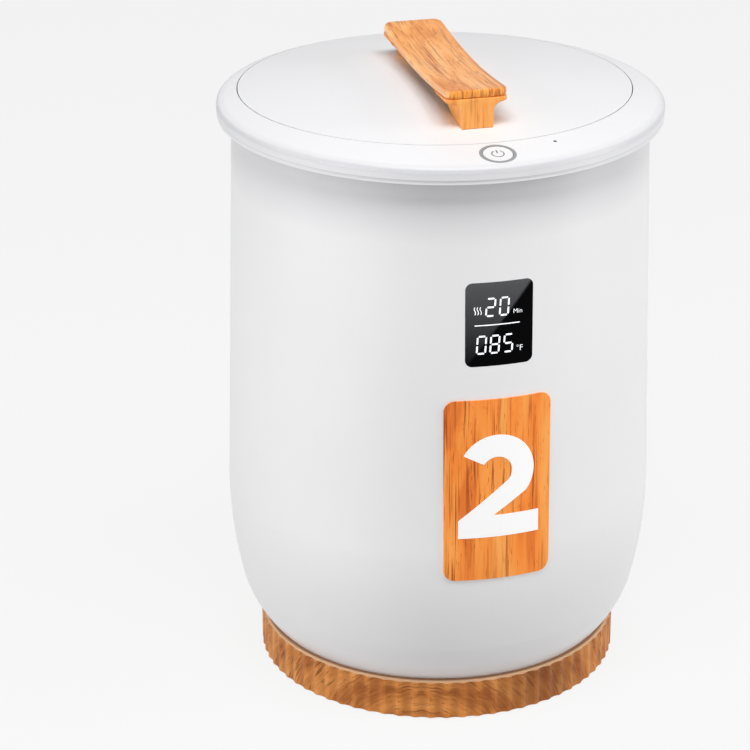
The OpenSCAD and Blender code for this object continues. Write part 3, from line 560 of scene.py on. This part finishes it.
display = {
    "radius": 150.4 * mm, "lift": 0.08 * mm, "thickness": 0.12 * mm,
    "digitHeight": 13.5 * mm, "digitWidth": 7.1 * mm, "stroke": 1.2 * mm, "gap": 0.62 * mm, "lean": 0.06,
    "upperRow": {"2": -10.4 * mm, "0": -0.8 * mm}, "upperBase": 5.5 * mm,
    "lowerRow": {"0": -16.6 * mm, "8": -7.3 * mm, "5": 2.2 * mm}, "lowerBase": -21.2 * mm,
    "ruleWidth": 32 * mm, "ruleHeight": 0.7 * mm, "ruleChamfer": 0.3 * mm, "ruleX": -1.6 * mm, "ruleZ": -0.4 * mm,
    "waves": 3, "waveStep": 2.0 * mm, "waveLeft": -17.4 * mm, "waveBase": 7.4 * mm,  # the heat mark
    "waveSwing": 0.5 * mm, "waveRise": 5.4 * mm, "waveStroke": 0.65 * mm, "waveSteps": 10,
    "words": (("Min", 4.6 * mm, 9.4 * mm, 6.4 * mm), ("°F", 5.8 * mm, 11.8 * mm, -20.8 * mm)),  # size, left, base
    "letterThinner": 0.05 * mm, "chamferShare": 0.3, "cutEvery": 2.5 * mm,
}
segmentsOf = {"0": "abcdef", "2": "abged", "5": "afgcd", "8": "abcdefg"}  # seven-segment figures


def placeDigit(figure, left, bottom, bars, d):
    # puts copies of the two bars where the figure has them, leaning to the right as they rise
    w, h, s = d["digitWidth"], d["digitHeight"], d["stroke"]
    upper, lower = bottom + h * 0.75 - s / 4, bottom + h * 0.25 + s / 4
    places = {
        "a": ("flat", left + w / 2, bottom + h - s / 2), "g": ("flat", left + w / 2, bottom + h / 2),
        "d": ("flat", left + w / 2, bottom + s / 2),
        "f": ("upright", left + s / 2, upper), "b": ("upright", left + w - s / 2, upper),
        "e": ("upright", left + s / 2, lower), "c": ("upright", left + w - s / 2, lower),
    }
    made = []
    for key in segmentsOf[figure]:
        kind, x, z = places[key]
        bar = ownCopy(bars[kind])
        for vertex in bar.data.vertices:
            vertex.co.z += z
            vertex.co.x += x + d["lean"] * (vertex.co.z - bottom)
        made.append(bar)
    return made


def makeDisplay(d):
    low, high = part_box("display_window")
    middle, thick = (low.z + high.z) / 2, d["thickness"]
    s, gap, chamfer = d["stroke"], d["gap"], d["stroke"] * d["chamferShare"]
    bars = {
        "flat": flatBar(d["digitWidth"] - s - 2 * gap, s, thick, chamfer),
        "upright": flatBar(s, d["digitHeight"] / 2 - s / 2 - 2 * gap, thick, chamfer),
    }
    parts = []
    for row, base in (("upperRow", "upperBase"), ("lowerRow", "lowerBase")):
        for figure, left in d[row].items():
            parts += placeDigit(figure, left, middle + d[base], bars, d)
    rule = flatBar(d["ruleWidth"], d["ruleHeight"], thick, d["ruleChamfer"])
    for vertex in rule.data.vertices:
        vertex.co.x += d["ruleX"]
        vertex.co.z += middle + d["ruleZ"]
    parts.append(rule)
    shares = [i / d["waveSteps"] for i in range(d["waveSteps"] + 1)]
    wave = [(d["waveSwing"] * math.sin(2 * math.pi * t), t * d["waveRise"]) for t in shares]
    first = strokeMesh("heatWave", wave, d["waveStroke"], thick)
    for i in range(d["waves"]):
        twin = ownCopy(first)
        for vertex in twin.data.vertices:
            vertex.co.x += d["waveLeft"] + i * d["waveStep"]
            vertex.co.z += middle + d["waveBase"]
        parts.append(twin)
    for words, size, left, base in d["words"]:
        parts.append(textMesh(words, size, left, middle + base, thick, d["letterThinner"]))
    for spare in (bars["flat"], bars["upright"], first):
        bpy.data.objects.remove(spare, do_unlink=True)
    figures = joinPieces(parts, "displayFigures")
    crossCuts(figures, d["cutEvery"], 0)
    wrapOnWall(figures, "display_window", d["radius"], d["lift"])
    finishPiece(figures, litWhite, "housing")


makeDisplay(display)
print("display figures made")


labelNumeral = {
    "radius": 153.8 * mm, "lift": 0.06 * mm, "thickness": 0.12 * mm,
    "height": 76 * mm, "width": 58 * mm, "stroke": 16.2 * mm, "centreX": 0.6 * mm, "centreHeight": 192.6 * mm,
    "headShare": 0.93, "headLeft": 0.03,            # of the width
    "outerArc": (152, -38, 32), "innerArc": (-44, 150, 24),  # from and to, in degrees, and steps
    "footRight": 1.52, "footLeft": 0.82,            # where the diagonal meets the foot, in strokes
    "cutAcross": 3 * mm, "cutUp": 6 * mm,
}


def numeralOutline(p):
    # a bold plain 2: round head, straight diagonal, flat foot
    w, h, s = p["width"], p["height"], p["stroke"]
    outer = w / 2 * p["headShare"]
    headX, headZ = -w * p["headLeft"], h / 2 - outer
    arcs = []
    for radius, (start, end, steps) in ((outer, p["outerArc"]), (outer - s, p["innerArc"])):
        angles = [math.radians(start + i * (end - start) / steps) for i in range(steps + 1)]
        arcs.append([(headX + radius * math.cos(a), headZ + radius * math.sin(a)) for a in angles])
    foot = [(-w / 2 + s * p["footRight"], -h / 2 + s), (w / 2, -h / 2 + s), (w / 2, -h / 2), (-w / 2, -h / 2),
            (-w / 2, -h / 2 + s * p["footLeft"])]
    return arcs[0] + foot + arcs[1]


def makeNumeral(p):
    shape = bpy.data.curves.new("numeral", "CURVE")
    shape.dimensions = "2D"
    shape.fill_mode = "BOTH"
    shape.extrude = p["thickness"] / 2
    outline = numeralOutline(p)
    spline = shape.splines.new("POLY")
    spline.points.add(len(outline) - 1)
    for point, (x, z) in zip(spline.points, outline):
        point.co = (x, z, 0, 1)
    spline.use_cyclic_u = True
    piece = bpy.data.objects.new("labelNumeral", shape)
    bpy.context.scene.collection.objects.link(piece)
    onlySelect([piece])
    bpy.ops.object.convert(target="MESH")
    piece = bpy.context.object
    for vertex in piece.data.vertices:  # stood up, facing the front
        x, y, z = vertex.co
        vertex.co = (p["centreX"] + x, -z, p["centreHeight"] + y)
    crossCuts(piece, p["cutAcross"], 0)
    crossCuts(piece, p["cutUp"], 2)
    wrapOnWall(piece, "front_label", p["radius"], p["lift"])
    finishPiece(piece, printWhite, "housing")


makeNumeral(labelNumeral)
print("label numeral made")


buttonPlace = {"inFront": 139 * mm, "domeRadius": 820 * mm}  # from the barrel axis, on the domed deck


def capPoint(x, y):  # where a line straight down meets the cap of the button
    return nodes["power_button"].ray_cast(Vector((x, y, outside)), Vector((0, 0, -1)))[1]


bezelRing = {
    "opening": 10.3 * mm, "body": 11.28 * mm, "depth": 5.4 * mm,
    "flange": 12.5 * mm, "flangeTop": -0.02 * mm, "flangeUnder": -0.14 * mm,    # from the level of the cap
    "proud": 0.1 * mm, "innerSlope": 0.25 * mm, "outerSlope": 0.3 * mm, "outerShare": 0.8,
    "steps": 96, "mergeWithin": 0.004 * mm,
}


def makeBezelRing(p):
    # the section of the ring is drawn in the XZ plane and spun round the button's own axis
    section = [(p["opening"], -p["depth"]), (p["opening"], 0), (p["opening"] + p["innerSlope"], p["proud"]),
               (p["flange"] - p["outerSlope"], p["proud"] * p["outerShare"]), (p["flange"], p["flangeTop"]),
               (p["flange"], p["flangeUnder"]), (p["body"], p["flangeUnder"]), (p["body"], -p["depth"])]
    deselect()
    bpy.ops.mesh.primitive_circle_add(vertices=len(section), radius=1 * mm, fill_type="NOTHING")
    ring = bpy.context.object
    ring.name = "bezelRing"
    for vertex, (r, h) in zip(ring.data.vertices, section):
        vertex.co = (r, 0, h)
    onlySelect([ring])
    bpy.ops.object.mode_set(mode="EDIT")
    bpy.ops.mesh.select_all(action="SELECT")
    bpy.ops.mesh.spin(steps=p["steps"], angle=2 * math.pi, center=(0, 0, 0), axis=(0, 0, 1))
    bpy.ops.mesh.select_all(action="SELECT")
    bpy.ops.mesh.remove_doubles(threshold=p["mergeWithin"])
    bpy.ops.mesh.normals_make_consistent(inside=False)
    bpy.ops.object.mode_set(mode="OBJECT")
    tilt = Matrix.Rotation(math.asin(buttonPlace["inFront"] / buttonPlace["domeRadius"]), 4, "X")
    low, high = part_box("power_button")
    top = capPoint((low.x + high.x) / 2, -buttonPlace["inFront"])
    for vertex in ring.data.vertices:  # square to the slope of the deck
        vertex.co = tilt @ vertex.co + top
    ring.data.update()
    smoothByAngle(ring)
    finishPiece(ring, bezelGrey, "housing")
    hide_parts("button_bezel")


makeBezelRing(bezelRing)
print("bezel ring made")


powerMark = {
    "ring": 4.1 * mm, "stroke": 1.0 * mm, "thickness": 0.1 * mm, "lift": 0.03 * mm,
    "openHalf": 32,             # half of the opening at the top, degrees
    "stem": (0.15, 0.65, 1.15),  # points of the bar, in radii of the ring
    "steps": 40,
}


def makePowerMark(p):
    low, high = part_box("power_button")
    centreX, centreY = (low.x + high.x) / 2, -buttonPlace["inFront"]
    arc = []
    for i in range(p["steps"] + 1):
        a = math.radians(90 + p["openHalf"] + i * (360 - 2 * p["openHalf"]) / p["steps"])
        arc.append((p["ring"] * math.cos(a), p["ring"] * math.sin(a)))
    stem = [(0, p["ring"] * t) for t in p["stem"]]
    mark = joinPieces([strokeMesh("markArc", arc, p["stroke"], p["thickness"]),
                       strokeMesh("markStem", stem, p["stroke"], p["thickness"])], "powerMark")
    for vertex in mark.data.vertices:  # laid on the domed cap from straight above
        x, y, z = vertex.co
        vertex.co = (centreX + x, centreY + z, capPoint(centreX + x, centreY + z).z + p["lift"] - y)
    mark.data.update()
    finishPiece(mark, printGrey, "button")


makePowerMark(powerMark)
print("power mark made")


stage = {
    "size": 14, "centreY": 2,   # metres
    "drop": 0.5 * mm,           # under the feet
    "backdrop": "#f8f8f8",
    "plain": 0.93,              # how far the seen floor is plain backdrop; the rest takes light and shadow
    "paint": "#c4c4c4",         # what the floor sends back to the object
    "room": 0.01,
}


def directRays(tree):  # 1 for what the lens sees straight, in a gloss or through glass
    rays = addNode(tree, "LightPath").outputs
    glossy = addNode(tree, "Math", {0: rays["Is Camera Ray"], 1: rays["Is Glossy Ray"]}, operation="MAXIMUM").outputs[0]
    return addNode(tree, "Math", {0: glossy, 1: rays["Is Transmission Ray"]}, operation="MAXIMUM").outputs[0]


def paleStage(s):
    deselect()
    bpy.ops.mesh.primitive_plane_add(size=s["size"], location=(0, s["centreY"], -s["drop"]))
    floor = bpy.context.object
    floor.name = "paleFloor"
    material = bpy.data.materials.new("paleFloorPaint")
    material.use_nodes = True
    tree = material.node_tree
    tree.nodes.clear()
    seen = directRays(tree)
    tone = addNode(tree, "Mix", {0: seen, 6: colour(s["paint"]), 7: colour("#ffffff")}, data_type="RGBA")
    matte = addNode(tree, "BsdfDiffuse", {"Color": tone.outputs[2]})
    glow = addNode(tree, "Emission", {"Color": colour(s["backdrop"]), "Strength": 1.0})
    plain = addNode(tree, "Math", {0: seen, 1: s["plain"]}, operation="MULTIPLY")
    both = addNode(tree, "MixShader", {0: plain.outputs[0], 1: matte.outputs[0], 2: glow.outputs[0]})
    addNode(tree, "OutputMaterial", {"Surface": both.outputs[0]})
    floor.data.materials.append(material)
    world = bpy.data.worlds.new("studio")
    bpy.context.scene.world = world
    world.use_nodes = True
    tree = world.node_tree
    tree.nodes.clear()
    seen = directRays(tree)
    room = addNode(tree, "Background", {"Color": colour("#ffffff"), "Strength": s["room"]})
    backdrop = addNode(tree, "Background", {"Color": colour(s["backdrop"]), "Strength": 1.0})
    both = addNode(tree, "MixShader", {0: seen, 1: room.outputs[0], 2: backdrop.outputs[0]})
    addNode(tree, "OutputWorld", {"Surface": both.outputs[0]})


aimAt = Vector((0, 0, 0.25))
softboxes = {
    # azimuth is to the right of the lens axis and elevation above the floor, in degrees; the rest metres and watts
    "overheadFront": {"azimuth": 6, "elevation": 68, "distance": 2.1, "width": 1.6, "height": 0.8, "watts": 35.5},
    "leftFront": {"azimuth": -40, "elevation": 8, "distance": 2.0, "width": 0.6, "height": 1.4, "watts": 7},
    "leftStrip": {"azimuth": -58, "elevation": 6, "distance": 1.9, "width": 0.7, "height": 1.5, "watts": 6},
    "leftEdge": {"azimuth": -78, "elevation": 12, "distance": 1.9, "width": 0.6, "height": 1.4, "watts": 9},
    "rightEdge": {"azimuth": 80, "elevation": 12, "distance": 1.9, "width": 0.6, "height": 1.4, "watts": 17.8},
    "rightFill": {"azimuth": 30, "elevation": 10, "distance": 2.6, "width": 1.6, "height": 1.0, "watts": 3.7},
}


def hangSoftbox(name, s):
    lamp = bpy.data.lights.new(name, "AREA")
    lamp.shape = "RECTANGLE"
    lamp.size, lamp.size_y, lamp.energy = s["width"], s["height"], s["watts"]
    holder = bpy.data.objects.new(name, lamp)
    bpy.context.scene.collection.objects.link(holder)
    way, rise = math.radians(s["azimuth"]) - camera["turn"], math.radians(s["elevation"])
    offset = Vector((math.sin(way) * math.cos(rise), -math.cos(way) * math.cos(rise), math.sin(rise)))
    holder.location = aimAt + offset * s["distance"]
    holder.rotation_euler = (-offset).to_track_quat("-Z", "Y").to_euler()
    holder.visible_camera = False  # seen only in reflections


paleStage(stage)
for name, s in softboxes.items():
    hangSoftbox(name, s)
print("stage and", len(softboxes), "softboxes set")
